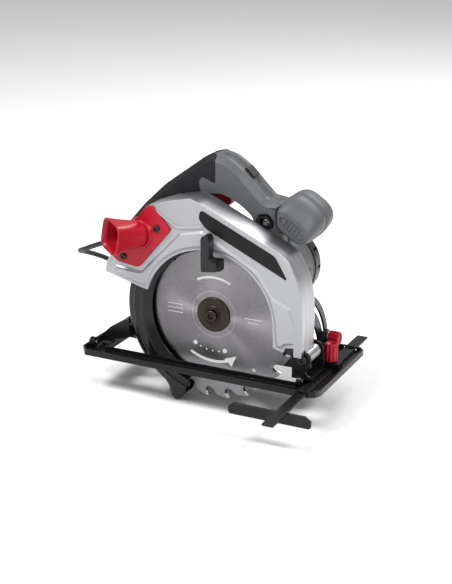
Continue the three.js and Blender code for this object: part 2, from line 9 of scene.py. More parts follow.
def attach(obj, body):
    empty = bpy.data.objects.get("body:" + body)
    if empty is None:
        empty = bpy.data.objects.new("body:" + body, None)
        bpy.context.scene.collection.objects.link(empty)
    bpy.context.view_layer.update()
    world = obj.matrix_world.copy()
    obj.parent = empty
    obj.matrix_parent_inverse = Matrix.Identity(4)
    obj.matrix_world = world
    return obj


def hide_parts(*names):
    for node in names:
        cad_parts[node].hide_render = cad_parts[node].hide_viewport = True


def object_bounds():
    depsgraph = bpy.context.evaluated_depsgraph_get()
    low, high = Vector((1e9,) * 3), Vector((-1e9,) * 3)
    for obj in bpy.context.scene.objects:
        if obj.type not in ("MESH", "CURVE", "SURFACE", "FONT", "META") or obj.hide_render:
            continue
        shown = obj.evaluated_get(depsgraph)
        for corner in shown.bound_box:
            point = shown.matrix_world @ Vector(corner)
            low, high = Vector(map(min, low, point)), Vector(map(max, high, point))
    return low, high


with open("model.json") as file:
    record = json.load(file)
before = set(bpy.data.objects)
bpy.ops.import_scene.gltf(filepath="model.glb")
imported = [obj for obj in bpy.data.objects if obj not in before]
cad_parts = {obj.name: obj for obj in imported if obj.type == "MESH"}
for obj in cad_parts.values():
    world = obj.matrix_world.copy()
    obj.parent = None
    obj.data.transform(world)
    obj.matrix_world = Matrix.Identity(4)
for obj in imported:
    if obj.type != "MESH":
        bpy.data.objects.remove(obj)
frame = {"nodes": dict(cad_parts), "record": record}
cad_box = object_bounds()

# ------------------------------------------------------------ Camera, floor and lights
# The saw is seen from the blade side, from the front quarter and from above,
# on a pale floor under soft studio lights.
AZIMUTH = math.radians(26.14)
ELEVATION = math.radians(19.62)
EYE = Vector((0.5754, -1.1898, 0.5390))
BACK = Vector((
    math.sin(AZIMUTH) * math.cos(ELEVATION),
    -math.cos(AZIMUTH) * math.cos(ELEVATION),
    math.sin(ELEVATION),
))

lens = bpy.data.cameras.new("camera")
lens.lens = 81.7
lens.sensor_width = 36
lens.clip_start = 0.05
lens.clip_end = 30
camera = bpy.data.objects.new("camera", lens)
camera.matrix_world = Matrix.Translation(EYE) @ BACK.to_track_quat("Z", "Y").to_matrix().to_4x4()
bpy.context.collection.objects.link(camera)
bpy.context.scene.camera = camera

FLOOR_Z = float(cad_box[0][2])


def new_mesh(name, points, faces, smooth=True):
    """An object named name from points in metres and faces of point numbers."""
    mesh = bpy.data.meshes.new(name)
    mesh.from_pydata(np.asarray(points, float).reshape(-1, 3).tolist(), [], [list(f) for f in faces])
    mesh.polygons.foreach_set("use_smooth", np.full(len(mesh.polygons), smooth))
    mesh.update()
    piece = bpy.data.objects.new(name, mesh)
    bpy.context.collection.objects.link(piece)
    return piece


def area_light(name, place, aim, size, watts):
    """A square lamp of that size at place, turned to aim."""
    lamp = bpy.data.lights.new(name, "AREA")
    lamp.size = size
    lamp.energy = watts
    holder = bpy.data.objects.new(name, lamp)
    toward = Vector(aim) - Vector(place)
    holder.matrix_world = Matrix.Translation(place) @ toward.to_track_quat("-Z", "Y").to_matrix().to_4x4()
    bpy.context.collection.objects.link(holder)


def node_maker(tree):
    """A maker of nodes for a tree: it sets their values and links their inputs."""
    def node(kind, links=(), **sockets):
        made = tree.nodes.new(kind)
        for key, value in sockets.items():
            if key in made.inputs:
                made.inputs[key].default_value = value
            else:
                setattr(made, key, value)
        for source, target in links:
            tree.links.new(source, made.inputs[target])
        return made

    return node


def node_material(name, base, rough, metal=0.0, specular=0.5):
    """A material with its Principled shader set, and a maker for its other nodes."""
    material = bpy.data.materials.new(name)
    material.use_nodes = True
    tree = material.node_tree
    shader = tree.nodes["Principled BSDF"]
    shader.inputs["Base Color"].default_value = (*base, 1)
    shader.inputs["Roughness"].default_value = rough
    shader.inputs["Metallic"].default_value = metal
    shader.inputs["Specular IOR Level"].default_value = specular
    return material, tree, shader, node_maker(tree)


CORNERS = ((-1, -1), (1, -1), (1, 1), (-1, 1))
floor = new_mesh("floor", [(6 * a, 6 * b, FLOOR_Z) for a, b in CORNERS], [(0, 1, 2, 3)])
floor.data.materials.append(node_material("floor_paint", (0.93, 0.93, 0.94), 0.9)[0])

sky = bpy.data.worlds.new("sky")
sky.use_nodes = True
backdrop = sky.node_tree.nodes["Background"]
backdrop.inputs["Color"].default_value = (1, 1, 1, 1)
backdrop.inputs["Strength"].default_value = 0.46
bpy.context.scene.world = sky
bpy.context.scene.view_settings.view_transform = "Standard"
area_light("lamp_key", (-0.7, -1.1, 1.9), (0, 0, 0.05), 0.6, 40)
area_light("lamp_front", (1.3, -0.75, 1.35), (0, 0, 0.05), 0.35, 17)
area_light("lamp_back", (0.4, 1.5, 1.7), (0, 0, 0.05), 1.0, 26)

# ------------------------------------------------------------ Mains lead
# A round rubber lead: out of its strain relief, down to the ground behind the saw,
# wound into a coil there, and into a moulded plug.
SPINDLE = np.array([0, -45, 58])


def at(points):
    """Points measured in mm about the middle of the blade, put into the frame in metres."""
    return (np.asarray(points, float) + SPINDLE) / 1000


LEAD_R = 2.8
GROUND = -101.5
COIL_MIDDLE = np.array([-104.0, 177.0])
PLUG_Y = 210.0
RELIEF_LEAN = np.array([-0.921, 0, -0.39])
relief_way = RELIEF_LEAN / np.linalg.norm(RELIEF_LEAN)
relief_root = np.array([-129.5, 45, 55])
lead_exit = relief_root + 30.3 * RELIEF_LEAN
lead_route = np.array([
    lead_exit, (-172, 45, 37), (-185, 47, 31), (-196, 55.5, 25.4), (-202, 70, 19.5), (-200.5, 88, 12),
    (-193, 106, 2), (-184, 122, -10), (-175.5, 136, -26), (-167.5, 149, -48), (-161, 160, -71),
    (-155.5, 171, -88), (-150, 183, -96.4),
])


def smooth_way(points, per_gap):
    """A cubic through every point, whose slope at a point is half the step between
    its two neighbours, cut into per_gap equal steps for each gap."""
    points = np.asarray(points, float)
    ends = np.vstack([2 * points[0] - points[1], points, 2 * points[-1] - points[-2]])
    slope = (ends[2:] - ends[:-2]) / 2
    t = np.linspace(0, 1, per_gap, endpoint=False)[None, :, None]
    p0, p1, m0, m1 = points[:-1, None], points[1:, None], slope[:-1, None], slope[1:, None]
    way = (
        (2 * t**3 - 3 * t**2 + 1) * p0 + (t**3 - 2 * t**2 + t) * m0
        + (-2 * t**3 + 3 * t**2) * p1 + (t**3 - t**2) * m1
    )
    return np.vstack([way.reshape(-1, 3), points[-1:]])


def ease(x, low=0.0, high=1.0):
    """0 below low, 1 above high, and a smooth rise between."""
    t = np.clip((x - low) / (high - low), 0, 1)
    return t * t * (3 - 2 * t)


def coil_way(steps_per_turn=24):
    """The coil: up the outer column, a step inward, down, a step inward and up again.
    Angle falls as it goes."""
    climb = 16.4
    column = 2.71
    step = 0.36
    turns = np.arange(0, 3 * column + 2 * step, 1 / steps_per_turn)
    second = column + step
    third = 2 * second
    radius = (
        37.1 + 6.4 * (1 - ease(turns, -0.1, 0.34))
        - 5.9 * ease(turns, column, second) - 5.9 * ease(turns, third - step, third)
    )
    rise = np.clip(turns / column, 0, 1)
    rise = rise - np.clip((turns - second) / column, 0, 1) + np.clip((turns - third) / column, 0, 1)
    height = GROUND + 2.9 + climb * rise
    angle = math.radians(155.5) - 2 * math.pi * turns
    return np.column_stack([
        COIL_MIDDLE[0] + radius * np.cos(angle), COIL_MIDDLE[1] + radius * np.sin(angle), height,
    ])


coil_points = coil_way()
coil_end = coil_points[-1] - (*COIL_MIDDLE, 0)
over = math.atan2(coil_end[1], coil_end[0]) - np.radians([28, 56, 84, 112])
over_radius = np.array([26.6, 30.2, 35.6, 41.5])
over_way = np.column_stack([
    COIL_MIDDLE[0] + over_radius * np.cos(over), COIL_MIDDLE[1] + over_radius * np.sin(over),
    coil_points[-1, 2] + np.array([2.4, 5.0, 6.2, 5.6]),
])
to_plug = [(-92, 221.5, -79.5), (-76, 220, -84.5), (-61, PLUG_Y + 5, -90), (-45.9, PLUG_Y, -92.5)]
down = smooth_way(np.vstack([lead_route, coil_points[0], coil_points[2]]), 4)[:-5]
away = smooth_way(np.vstack([coil_points[-3], coil_points[-1], over_way, to_plug]), 4)[5:]
lead_plan = np.vstack([down, coil_points, away])
lead_way = at(lead_plan)


def tube(name, way, radius, sides=16):
    """A round tube: rings of that radius across a line, turned by the least twist from
    one ring to the next, with flat ends."""
    way = np.asarray(way, float)
    forward = np.gradient(way, axis=0)
    forward /= np.linalg.norm(forward, axis=1)[:, None]
    up = np.zeros_like(way)
    side = np.cross(forward[0], (0, 0, 1.0))
    up[0] = np.cross(side, forward[0]) / np.linalg.norm(side)
    for i in range(1, len(way)):
        flat = up[i - 1] - forward[i] * up[i - 1].dot(forward[i])
        up[i] = flat / np.linalg.norm(flat)
    side = np.cross(forward, up)
    turn = np.linspace(0, 2 * math.pi, sides, endpoint=False)[None, :, None]
    rings = way[:, None] + radius * (np.cos(turn) * side[:, None] + np.sin(turn) * up[:, None])
    return closed_grid(name, rings, round_rows=False)


def closed_grid(name, grid, round_rows=True):
    """A skin over a grid of points whose columns close on themselves. Its rows close
    too, or else the first and last rings get flat lids."""
    rows, cols = grid.shape[:2]
    number = np.arange(rows * cols).reshape(rows, cols)
    following = np.roll(number, -1, axis=0) if round_rows else number[1:]
    first = number if round_rows else number[:-1]
    faces = np.stack([
        first, np.roll(first, -1, axis=1), np.roll(following, -1, axis=1), following,
    ], axis=-1).reshape(-1, 4).tolist()
    if not round_rows:
        faces += [number[0, ::-1].tolist(), number[-1].tolist()]
    piece = new_mesh(name, grid, faces)
    outward(piece)
    return piece


def outward(piece):
    """Turns every face of a closed mesh to point out."""
    work = bmesh.new()
    work.from_mesh(piece.data)
    bmesh.ops.recalc_face_normals(work, faces=work.faces)
    work.to_mesh(piece.data)
    work.free()


def lead_rubber():
    """Black rubber with a soft sheen and faint scuffs."""
    material, tree, shader, node = node_material("lead_rubber", (0.012, 0.012, 0.013), 0.42)
    where = node("ShaderNodeTexCoord")
    scuff = node("ShaderNodeTexNoise", [(where.outputs["Object"], "Vector")], Scale=180.0, Detail=4.0)
    tone = node("ShaderNodeMapRange", [(scuff.outputs["Fac"], "Value")])
    tone.inputs["To Min"].default_value = 0.34
    tone.inputs["To Max"].default_value = 0.56
    tree.links.new(tone.outputs["Result"], shader.inputs["Roughness"])
    bump = node("ShaderNodeBump", [(scuff.outputs["Fac"], "Height")], Strength=0.05, Distance=0.0002)
    tree.links.new(bump.outputs["Normal"], shader.inputs["Normal"])
    return material


lead_black = lead_rubber()
lead = tube("mains_lead", lead_way, LEAD_R / 1000)
lead.data.materials.append(lead_black)
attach(lead, "saw_body")
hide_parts("cord", "cord_coil")


def body_holding(node_name):
    """The body that a CAD node belongs to."""
    bodies = frame["record"]["behaviour"]["bodies"]
    return next(body for body, nodes in bodies.items() if node_name in nodes)


def cut_with(piece, cutter, operation="DIFFERENCE"):
    """Takes the cutter's shape out of a piece for good, or keeps only what is in it."""
    cut = piece.modifiers.new("cut", "BOOLEAN")
    cut.operation = operation
    cut.solver = "EXACT"
    cut.object = cutter
    bpy.context.view_layer.update()
    piece.data = bpy.data.meshes.new_from_object(piece.evaluated_get(bpy.context.evaluated_depsgraph_get()))
    piece.modifiers.clear()
    bpy.data.objects.remove(cutter)


SHARP_EDGE = math.radians(34)


def eased(node_name, material, width, segments=3, broad=None, broad_width=0.0, notch=None):
    """A CAD solid with its edges rounded over by width in metres. The solid is copied,
    its loose triangles are merged, flat stretches become single faces, and its sharp
    edges get the round. Edges whose two ends satisfy broad get broad_width. The shape
    of notch, where given, is taken out first."""
    source = frame["nodes"][node_name]
    piece = bpy.data.objects.new(f"{node_name}_body", source.data.copy())
    piece.data.materials.clear()
    piece.data.materials.append(material)
    bpy.context.collection.objects.link(piece)
    work = bmesh.new()
    work.from_mesh(piece.data)
    bmesh.ops.remove_doubles(work, verts=work.verts, dist=2e-6)
    if notch:
        work.to_mesh(piece.data)
        cut_with(piece, notch)
        work.clear()
        work.from_mesh(piece.data)
    bmesh.ops.dissolve_limit(work, angle_limit=0.01, verts=work.verts, edges=work.edges)
    weight = work.edges.layers.float.new("bevel_weight_edge")
    widest = max(width, broad_width)
    for edge in work.edges:
        if edge.calc_face_angle(0) > SHARP_EDGE:
            ends = [edge.verts[0].co, edge.verts[1].co]
            edge[weight] = (broad_width if broad and all(map(broad, ends)) else width) / widest
    for face in work.faces:
        face.smooth = True
    work.to_mesh(piece.data)
    work.free()
    bevel = piece.modifiers.new("round", "BEVEL")
    bevel.width = widest
    bevel.segments = segments
    bevel.limit_method = "WEIGHT"
    bevel.use_clamp_overlap = True
    bevel.miter_outer = "MITER_ARC"
    level = piece.modifiers.new("level", "WEIGHTED_NORMAL")
    level.weight = 80
    level.keep_sharp = False
    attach(piece, body_holding(node_name))
    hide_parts(node_name)
    return piece


def about_line(name, middle, way, first, turn, radius, along, body, material, round_rows=True):
    """A skin round the line through middle in the direction way: its points lie at
    those radii and distances along, turned from the direction first. Middle is in mm
    about the middle of the blade."""
    second = np.cross(way, first)
    points = middle + along * way + radius * (np.cos(turn) * first + np.sin(turn) * second)
    piece = closed_grid(name, at(points), round_rows)
    piece.data.materials.append(material)
    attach(piece, body)
    return piece


def full_turn(sides):
    """Equal steps of one turn, laid along the second of three axes."""
    return np.linspace(0, 2 * math.pi, sides, endpoint=False)[None, :, None]


def turned(name, profile, middle, body, material, sides=64, way=(0, 1, 0), section=None):
    """A closed profile of (radius, distance along) pairs in mm, turned round the line
    through middle. Section, where given, multiplies the radius at each angle and
    distance."""
    profile = np.asarray(profile, float)
    way = np.asarray(way, float) / np.linalg.norm(way)
    first = np.cross(way, (0.31, 0.11, 0.93))
    first /= np.linalg.norm(first)
    turn = full_turn(sides)
    radius, along = profile[:, :1, None], profile[:, 1:, None]
    if section:
        radius = radius * section(turn, along)
    return about_line(name, middle, way, first, turn, radius, along, body, material)


def soften(piece, width, segments=2, angle=30):
    """Rounds the sharp edges of a made piece."""
    bevel = piece.modifiers.new("round", "BEVEL")
    bevel.width = width
    bevel.segments = segments
    bevel.limit_method = "ANGLE"
    bevel.angle_limit = math.radians(angle)
    level = piece.modifiers.new("level", "WEIGHTED_NORMAL")
    level.weight = 80
    return piece


# The relief's moulded rings grow thinner towards the lead.
ring_count = 9
relief_steps = []
for i in range(ring_count):
    s = i * 38.0 / ring_count
    fat = 5.6 - 1.75 * s / 38
    relief_steps += [(s, fat), (s + 2.9, fat - 0.12), (s + 3.15, fat - 1.0), (s + 3.95, fat - 1.05)]
relief_profile = [(0.05, -6), (6.3, -6), (6.3, -0.2), (5.5, 0)] + [(r, s) for s, r in relief_steps if s < 29]
relief_profile += [(3.4, 29.6), (0.05, 29.9)]
relief = turned("lead_relief", relief_profile, relief_root, "saw_body", lead_black, 32, relief_way)
soften(relief, 0.0003)
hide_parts("strain_relief")

plug_profile = [
    (0.1, -45.4), (3.9, -45.4), (4.4, -43), (4.9, -40.2), (6.3, -38.4), (8.3, -36.9), (8.9, -34.8),
    (8.9, -30), (7.9, -28.6), (7.9, -26.8), (8.9, -25.4), (8.9, -5.2), (8.2, -3.6), (6.9, -3.05),
    (0.1, -3.05),
]
plug = turned("lead_plug", plug_profile, (0, PLUG_Y, GROUND + 9), "saw_body", lead_black, 40, (1, 0, 0))
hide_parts("plug")


def bright_steel(name="bright_steel", base=(0.56, 0.56, 0.57), rough=0.28):
    """Plain turned steel with a fine grain in its gloss."""
    material, tree, shader, node = node_material(name, base, rough, 1.0)
    where = node("ShaderNodeTexCoord")
    grain = node("ShaderNodeTexNoise", [(where.outputs["Object"], "Vector")], Scale=420.0, Detail=3.0)
    tone = node("ShaderNodeMapRange", [(grain.outputs["Fac"], "Value")])
    tone.inputs["To Min"].default_value = rough - 0.08
    tone.inputs["To Max"].default_value = rough + 0.14
    tree.links.new(tone.outputs["Result"], shader.inputs["Roughness"])
    return material


steel = bright_steel()
for side in (-6.5, 6.5):
    pin_profile = [(0.05, -3.3), (2.2, -3.3), (2.2, 14.2), (1.6, 15.8), (0.05, 15.9)]
    pin = turned(f"plug_pin_{'left' if side < 0 else 'right'}", pin_profile,
                 (0, PLUG_Y + side, GROUND + 9), "saw_body", steel, 24, (1, 0, 0))
    pin.parent = plug

# ------------------------------------------------------------ Upper guard
# A light alloy casting, painted silver: a near wall with a round opening, a broad
# rounded rim that is brushed bright, and a raised bead that stiffens the wall.


def moulded(name, base, rough, grain=0.10, scale=900.0, spread=0.12, specular=0.4):
    """Moulded plastic or paint: a fine texture in the surface and a slight
    unevenness of tone and gloss."""
    material, tree, shader, node = node_material(name, base, rough, 0.0, specular)
    where = node("ShaderNodeTexCoord")
    fine = node("ShaderNodeTexNoise", [(where.outputs["Object"], "Vector")], Scale=scale, Detail=3.0)
    broad = node("ShaderNodeTexNoise", [(where.outputs["Object"], "Vector")], Scale=26.0, Detail=4.0)
    tint = node("ShaderNodeMix", [(broad.outputs["Fac"], 0)], data_type="RGBA")
    tint.inputs[6].default_value = (*[c * (1 - spread) for c in base], 1)
    tint.inputs[7].default_value = (*[min(c * (1 + spread), 1) for c in base], 1)
    tree.links.new(tint.outputs[2], shader.inputs["Base Color"])
    gloss = node("ShaderNodeMapRange", [(broad.outputs["Fac"], "Value")])
    gloss.inputs["To Min"].default_value = rough - 0.07
    gloss.inputs["To Max"].default_value = rough + 0.08
    tree.links.new(gloss.outputs["Result"], shader.inputs["Roughness"])
    bump = node("ShaderNodeBump", [(fine.outputs["Fac"], "Height")], Strength=grain, Distance=0.0002)
    tree.links.new(bump.outputs["Normal"], shader.inputs["Normal"])
    return material


def cast_silver():
    """Silver paint over a casting: a fine orange peel, and long scratches from the
    brushing that run round the rim, so they are short across it."""
    material = moulded("silver_paint", (0.38, 0.385, 0.40), 0.44, 0.05, 620.0, 0.04, 0.5)
    tree = material.node_tree
    shader = tree.nodes["Principled BSDF"]
    shader.inputs["Metallic"].default_value = 0.45
    node = node_maker(tree)
    where = node("ShaderNodeTexCoord")
    stretch = node("ShaderNodeMapping", [(where.outputs["Object"], "Vector")], Scale=(9, 900, 9))
    scratch = node("ShaderNodeTexNoise", [(stretch.outputs["Vector"], "Vector")], Scale=1.0, Detail=3.0)
    peel = shader.inputs["Normal"].links[0].from_socket
    bump = node("ShaderNodeBump", [(scratch.outputs["Fac"], "Height"), (peel, "Normal")],
                Strength=0.16, Distance=0.0002)
    tree.links.new(bump.outputs["Normal"], shader.inputs["Normal"])
    return material


silver_paint = cast_silver()


def brushed_rim():
    """The rim's bare alloy: streaks along it, so they are fine across Y and long in the
    other two directions, in tone and in the surface."""
    material, tree, shader, node = node_material("rim_alloy", (0.44, 0.445, 0.46), 0.36, 1.0)
    where = node("ShaderNodeTexCoord")
    stretch = node("ShaderNodeMapping", [(where.outputs["Object"], "Vector")], Scale=(11, 620, 11))
    streak = node("ShaderNodeTexNoise", [(stretch.outputs["Vector"], "Vector")], Scale=1.0, Detail=5.0)
    tint = node("ShaderNodeMix", [(streak.outputs["Fac"], 0)], data_type="RGBA")
    tint.inputs[6].default_value = (0.24, 0.243, 0.255, 1)
    tint.inputs[7].default_value = (0.66, 0.665, 0.68, 1)
    tree.links.new(tint.outputs[2], shader.inputs["Base Color"])
    bump = node("ShaderNodeBump", [(streak.outputs["Fac"], "Height")], Strength=0.45, Distance=0.0003)
    tree.links.new(bump.outputs["Normal"], shader.inputs["Normal"])
    return material


rim_alloy = brushed_rim()
WALL_FACE = float(at((0, -15.5, 0))[1])
RIM_FOOT = 0.03


def beyond_wall(point):
    """Whether a point in metres is further from the spindle than the wall reaches."""
    return math.hypot(point.x, point.z - SPINDLE[2] / 1000) > 0.1


guard = eased(
    "upper_guard", silver_paint, 0.0009, segments=4,
    broad=lambda point: abs(point.y - WALL_FACE) < 2e-5 and beyond_wall(point), broad_width=0.0036,
)
guard.data.materials.append(rim_alloy)
for face in guard.data.polygons:
    on_rim = beyond_wall(face.center) and abs(face.normal.y) < 0.3 and face.center.z > RIM_FOOT
    face.material_index = int(on_rim)


def rounded(points, reach, steps=5):
    """An outline with its corners turned into short curves: each corner is replaced by
    a parabola that starts and ends reach mm before and after it."""
    points = np.asarray(points, float)
    before = np.roll(points, 1, axis=0) - points
    after = np.roll(points, -1, axis=0) - points
    span_before = np.linalg.norm(before, axis=1)[:, None]
    span_after = np.linalg.norm(after, axis=1)[:, None]
    start = points + before / span_before * np.minimum(reach, span_before * 0.42)
    end = points + after / span_after * np.minimum(reach, span_after * 0.42)
    t = np.linspace(0, 1, steps)[None, :, None]
    curve = (1 - t) ** 2 * start[:, None] + 2 * t * (1 - t) * points[:, None] + t**2 * end[:, None]
    return curve.reshape(-1, 2)


def drawn_in(outline, distance):
    """An outline moved inward by distance: each point goes along the mean of the
    normals of its two edges."""
    step = np.roll(outline, -1, axis=0) - outline
    following = np.roll(outline, -1, axis=0)
    area = 0.5 * (outline[:, 0] * following[:, 1] - following[:, 0] * outline[:, 1]).sum()
    normal = np.column_stack([-step[:, 1], step[:, 0]]) * np.sign(area)
    normal /= np.maximum(np.linalg.norm(normal, axis=1), 1e-9)[:, None]
    mean = normal + np.roll(normal, 1, axis=0)
    length = np.maximum(np.linalg.norm(mean, axis=1), 1e-6)[:, None]
    return outline + mean / length * distance * np.minimum(2 / length, 1.6)


def plate(name, outline, levels, body, material, holes=(), hole_share=1.0):
    """A plate across Y from (x, z) outlines in mm. Levels are (y, inset) pairs from one
    face to the other: at each y the outline is drawn in by inset and the holes are
    opened by hole_share times inset."""
    points, faces, count = [], [], 0
    for index, loop in enumerate([outline, *holes]):
        loop = np.asarray(loop, float)
        rings = [drawn_in(loop, inset if index == 0 else -inset * hole_share) for _, inset in levels]
        ring = np.stack([
            np.column_stack([r[:, 0], np.full(len(r), y), r[:, 1]]) for r, (y, _) in zip(rings, levels)
        ])
        number = count + np.arange(ring.shape[0] * ring.shape[1]).reshape(ring.shape[:2])
        faces += np.stack([
            number[:-1], np.roll(number[:-1], -1, axis=1), np.roll(number[1:], -1, axis=1), number[1:],
        ], axis=-1).reshape(-1, 4).tolist()
        points.append(ring.reshape(-1, 3))
        count += number.size
    piece = new_mesh(name, at(np.vstack(points)), faces)
    work = bmesh.new()
    work.from_mesh(piece.data)
    middle = float(at((0, (levels[0][0] + levels[-1][0]) / 2, 0))[1])
    for sign in (-1, 1):
        rim = [e for e in work.edges if e.is_boundary and (e.verts[0].co.y - middle) * sign > 0]
        bmesh.ops.triangle_fill(work, edges=rim, use_beauty=True)
    bmesh.ops.recalc_face_normals(work, faces=work.faces)
    for face in work.faces:
        face.smooth = True
    work.to_mesh(piece.data)
    work.free()
    level = piece.modifiers.new("level", "WEIGHTED_NORMAL")
    level.weight = 90
    piece.data.materials.append(material)
    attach(piece, body)
    return piece


def arc_points(radius, start, end, steps, middle=(0, 0)):
    """Points of an arc in the (x, z) plane, angles in degrees."""
    turn = np.radians(np.linspace(start, end, steps))
    return np.column_stack([middle[0] + radius * np.cos(turn), middle[1] + radius * np.sin(turn)])


# The step beside the opening stands a millimetre proud of the wall, with a soft edge.
step_outline = np.vstack([
    [(-108, 43.6), (-76.4, 40.6), (-31.5, 87.6), (-5.6, 93.6), (55.4, 60.5), (73.1, 34.6), (92.0, 26.4)],
    [(97.6, 8), (96, -12), (86.5, -13.8), (83.6, -18.8), (77, -16.5)],
    arc_points(75.2, 2, 162, 26), [(-74, 24.5), (-106, 33.6)],
])
guard_step = plate("guard_step", rounded(step_outline, 2.4), [
    (-17.7, 2.9), (-17.62, 2.45), (-15.9, 0.5), (-15.6, 0.1), (-15.2, 0),
], "saw_body", silver_paint)
bead_outline = [
    (-63.4, 108.9), (-61.6, 111.6), (-33.5, 94.4), (-6.5, 98.2), (-3.5, 96.2), (-6, 95.2), (-33.2, 91.2),
]
guard_bead = plate("guard_bead", rounded(bead_outline, 1.2), [
    (-16.9, 0.9), (-16.75, 0.5), (-16.0, 0.1), (-15.2, 0),
], "saw_body", silver_paint)

# ------------------------------------------------------------ Name panel and dust outlet
# A plain dark panel stuck in a shallow bed on the wall, and a red plastic outlet
# that is screwed over the mouth of the dust channel.
panel_black = moulded("panel_black", (0.0095, 0.010, 0.0095), 0.36, 0.02, 500.0, 0.08, 0.15)
panel = plate(
    "name_panel", rounded([(-7, 115), (74.5, 77.5), (88.5, 54), (-2, 96.5), (-9.5, 106)], 4.0, 7),
    [(-16.4, 0.7), (-16.25, 0.2), (-15.9, 0), (-15.4, 0)], "saw_body", panel_black,
)
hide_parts("label_panel")
red_plastic = moulded("red_plastic", (0.37, 0.004, 0.017), 0.32, 0.03, 700.0, 0.06, 0.28)
PORT_BASE = np.array([-77.1, -15.8, 81.4])
PORT_MOUTH = np.array([-95.2, -46, 83.2])
port_way = PORT_MOUTH - PORT_BASE
port_length = float(np.linalg.norm(port_way))
PORT_SHAPE_LENGTH = 35.3
port_shape = [
    (14.2, -3.5), (14.6, 2.5), (14.3, 6.5), (14.6, 12), (15.4, 20), (16.8, 28), (18.1, 33.6), (18.35, 34.8),
    (17.9, 35.3), (17.0, 35.2), (15.6, 29), (13.6, 20), (12.6, 11), (11.9, 2), (11.7, -3.5),
]


def squared(turn, along):
    """A circle that becomes a rounded square towards the mouth: the power in the
    equation of its outline rises from 2."""
    share = ease(along, 6, 33)
    power = 2 + 2.2 * share
    reach = (np.abs(np.cos(turn)) ** power + np.abs(np.sin(turn)) ** power) ** (-1 / power)
    return reach * (1 - 0.06 * share)


port_tube = turned("dust_tube", [(r, d / PORT_SHAPE_LENGTH * port_length) for r, d in port_shape],
                   PORT_BASE, "saw_body", red_plastic, 96, port_way, squared)
flange_hole = arc_points(13.4, 0, 350, 36, (-76.6, 81.4))
port_flange = plate(
    "dust_flange",
    rounded([(-68, 112), (-62, 113.5), (-40, 90), (-77, 46), (-82, 45), (-103, 48), (-112, 55)], 3.0),
    [(-18.3, 1.0), (-18.2, 0.5), (-17.7, 0), (-15.7, 0)], "saw_body", red_plastic, [flange_hole], 0.3,
)
collar_profile = [(13.6, -4), (17.6, -4), (17.4, -2.6), (16.0, -1.4), (15.0, 0.2), (14.5, 2.2), (13.6, 2.2)]
port_collar = turned("dust_collar", collar_profile, PORT_BASE + (0.6, -2.4, 0), "saw_body", red_plastic, 64,
                     (-0.12, -1, 0.02))
for piece in (port_collar, port_flange):
    piece.parent = port_tube
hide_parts("dust_port")
screw_black = bright_steel("screw_black", (0.05, 0.05, 0.05), 0.35)


def cap_screw(name, place, size, body, material):
    """A round screw head, facing the blade side, with a six-sided socket: the profile's
    inner radius swings with angle to make the flats."""
    turn = full_turn(48)
    flat = math.pi / 6
    flats = math.cos(flat) / np.cos((turn % (2 * flat)) - flat)
    profile = np.array([
        (1, 0), (1, 0.42), (0.9, 0.56), (0.7, 0.6), (0.52, 0.6), (0.48, 0.55), (0.48, 0.1), (0.02, 0.1),
    ])
    radius, along = profile[:, :1, None], profile[:, 1:, None]
    radius = size * radius * np.where(radius < 0.55, flats, 1)
    way, first = np.array([0, -1.0, 0]), np.array([0, 0, 1.0])
    return about_line(name, place, way, first, turn, radius, size * along, body, material, False)


for place, x, z in (("upper", -56, 89.5), ("lower", -96, 54.5)):
    screw = cap_screw(f"outlet_screw_{place}", (x, -18.4, z), 3.6, "saw_body", screw_black)
    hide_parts(f"dust_port_screw_{place}")

# ------------------------------------------------------------ Saw blade
# Ground steel, 24 hooked teeth with brazed carbide tips and four slits that let the
# rim grow when it is hot, held between two flanges by a bolt with a socket.
BLADE_R = 92.5
BLADE_HALF = 0.9
TEETH = 24
FIRST_TOOTH = -95.7


